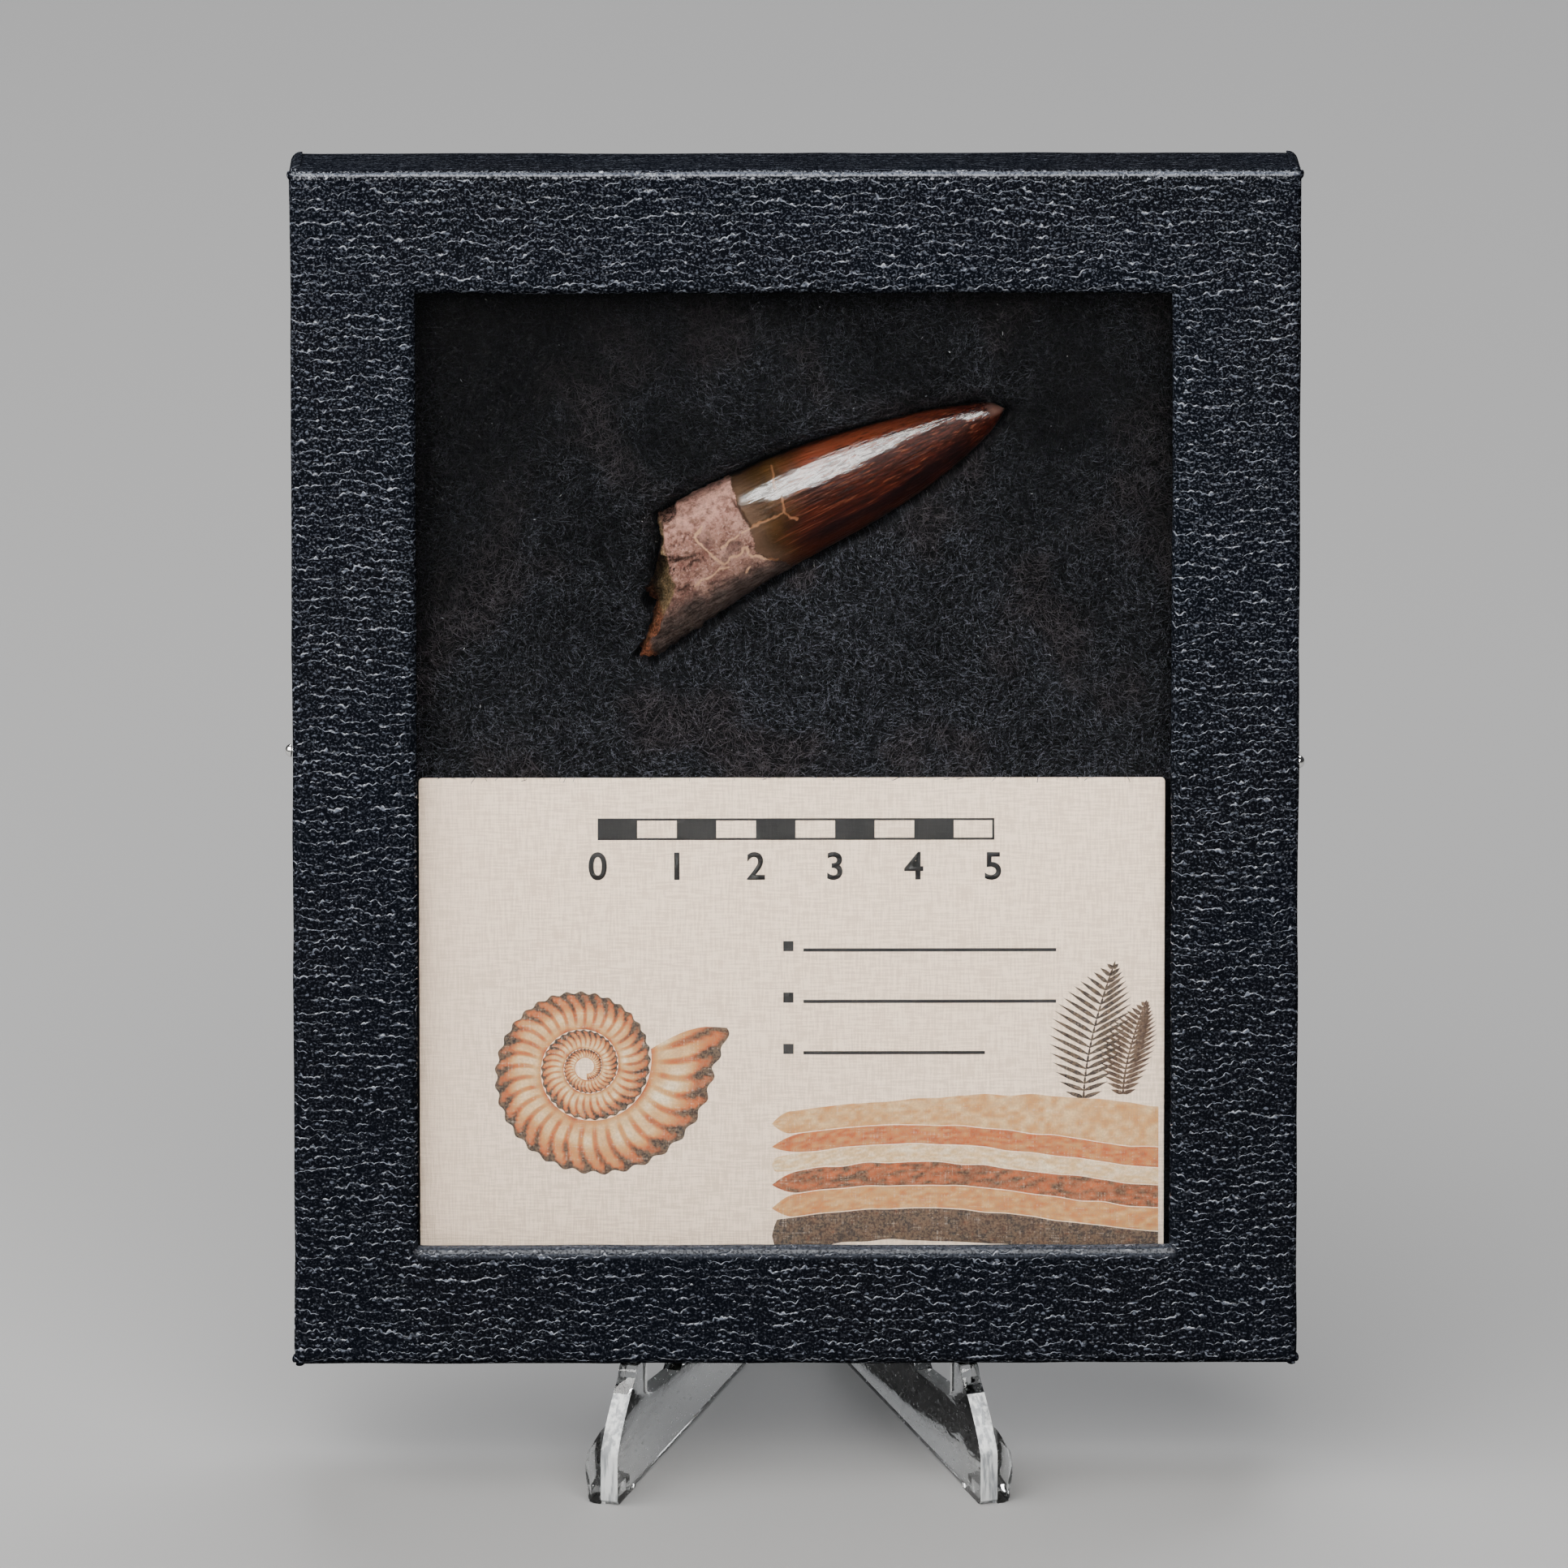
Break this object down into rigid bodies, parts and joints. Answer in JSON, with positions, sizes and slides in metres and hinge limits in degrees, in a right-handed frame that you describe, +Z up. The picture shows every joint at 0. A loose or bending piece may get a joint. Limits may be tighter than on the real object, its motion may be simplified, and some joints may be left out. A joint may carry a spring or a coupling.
{
  "type": "fossil dinosaur tooth in a display case",
  "caption": "Fossil theropod tooth lying on dark batting in a shallow glazed specimen case with a label card, leaning on a clear two-legged easel.",
  "frame": {"origin": "under the middle of the bounding box, on the surface the stand rests on", "axes": "+Z up, the window and the label face -Y and lean back by 11 degrees, +X to the right as seen from the front"},
  "size_m": [0.1292, 0.08, 0.1666],
  "materials": {
    "leatherette": "satin, black embossed leatherette paper over board",
    "glass": "polished",
    "tray_board": "matte black paper over board",
    "batting": "charcoal polyester fibre",
    "card": "linen weave",
    "fossil": "glossy brown enamel on a matte pinkish root",
    "pin_metal": "nickel plated",
    "clear_plastic": "clear, frosted front edges"
  },
  "bodies": {
    "root": {"lid": "leatherette", "glass": "glass", "tray": "tray_board", "batting": "batting", "label_card": "card", "tooth": "fossil", "pin_left": "pin_metal", "pin_right": "pin_metal", "stand_leg_left": "clear_plastic", "stand_leg_right": "clear_plastic"}
  },
  "joints": []
}
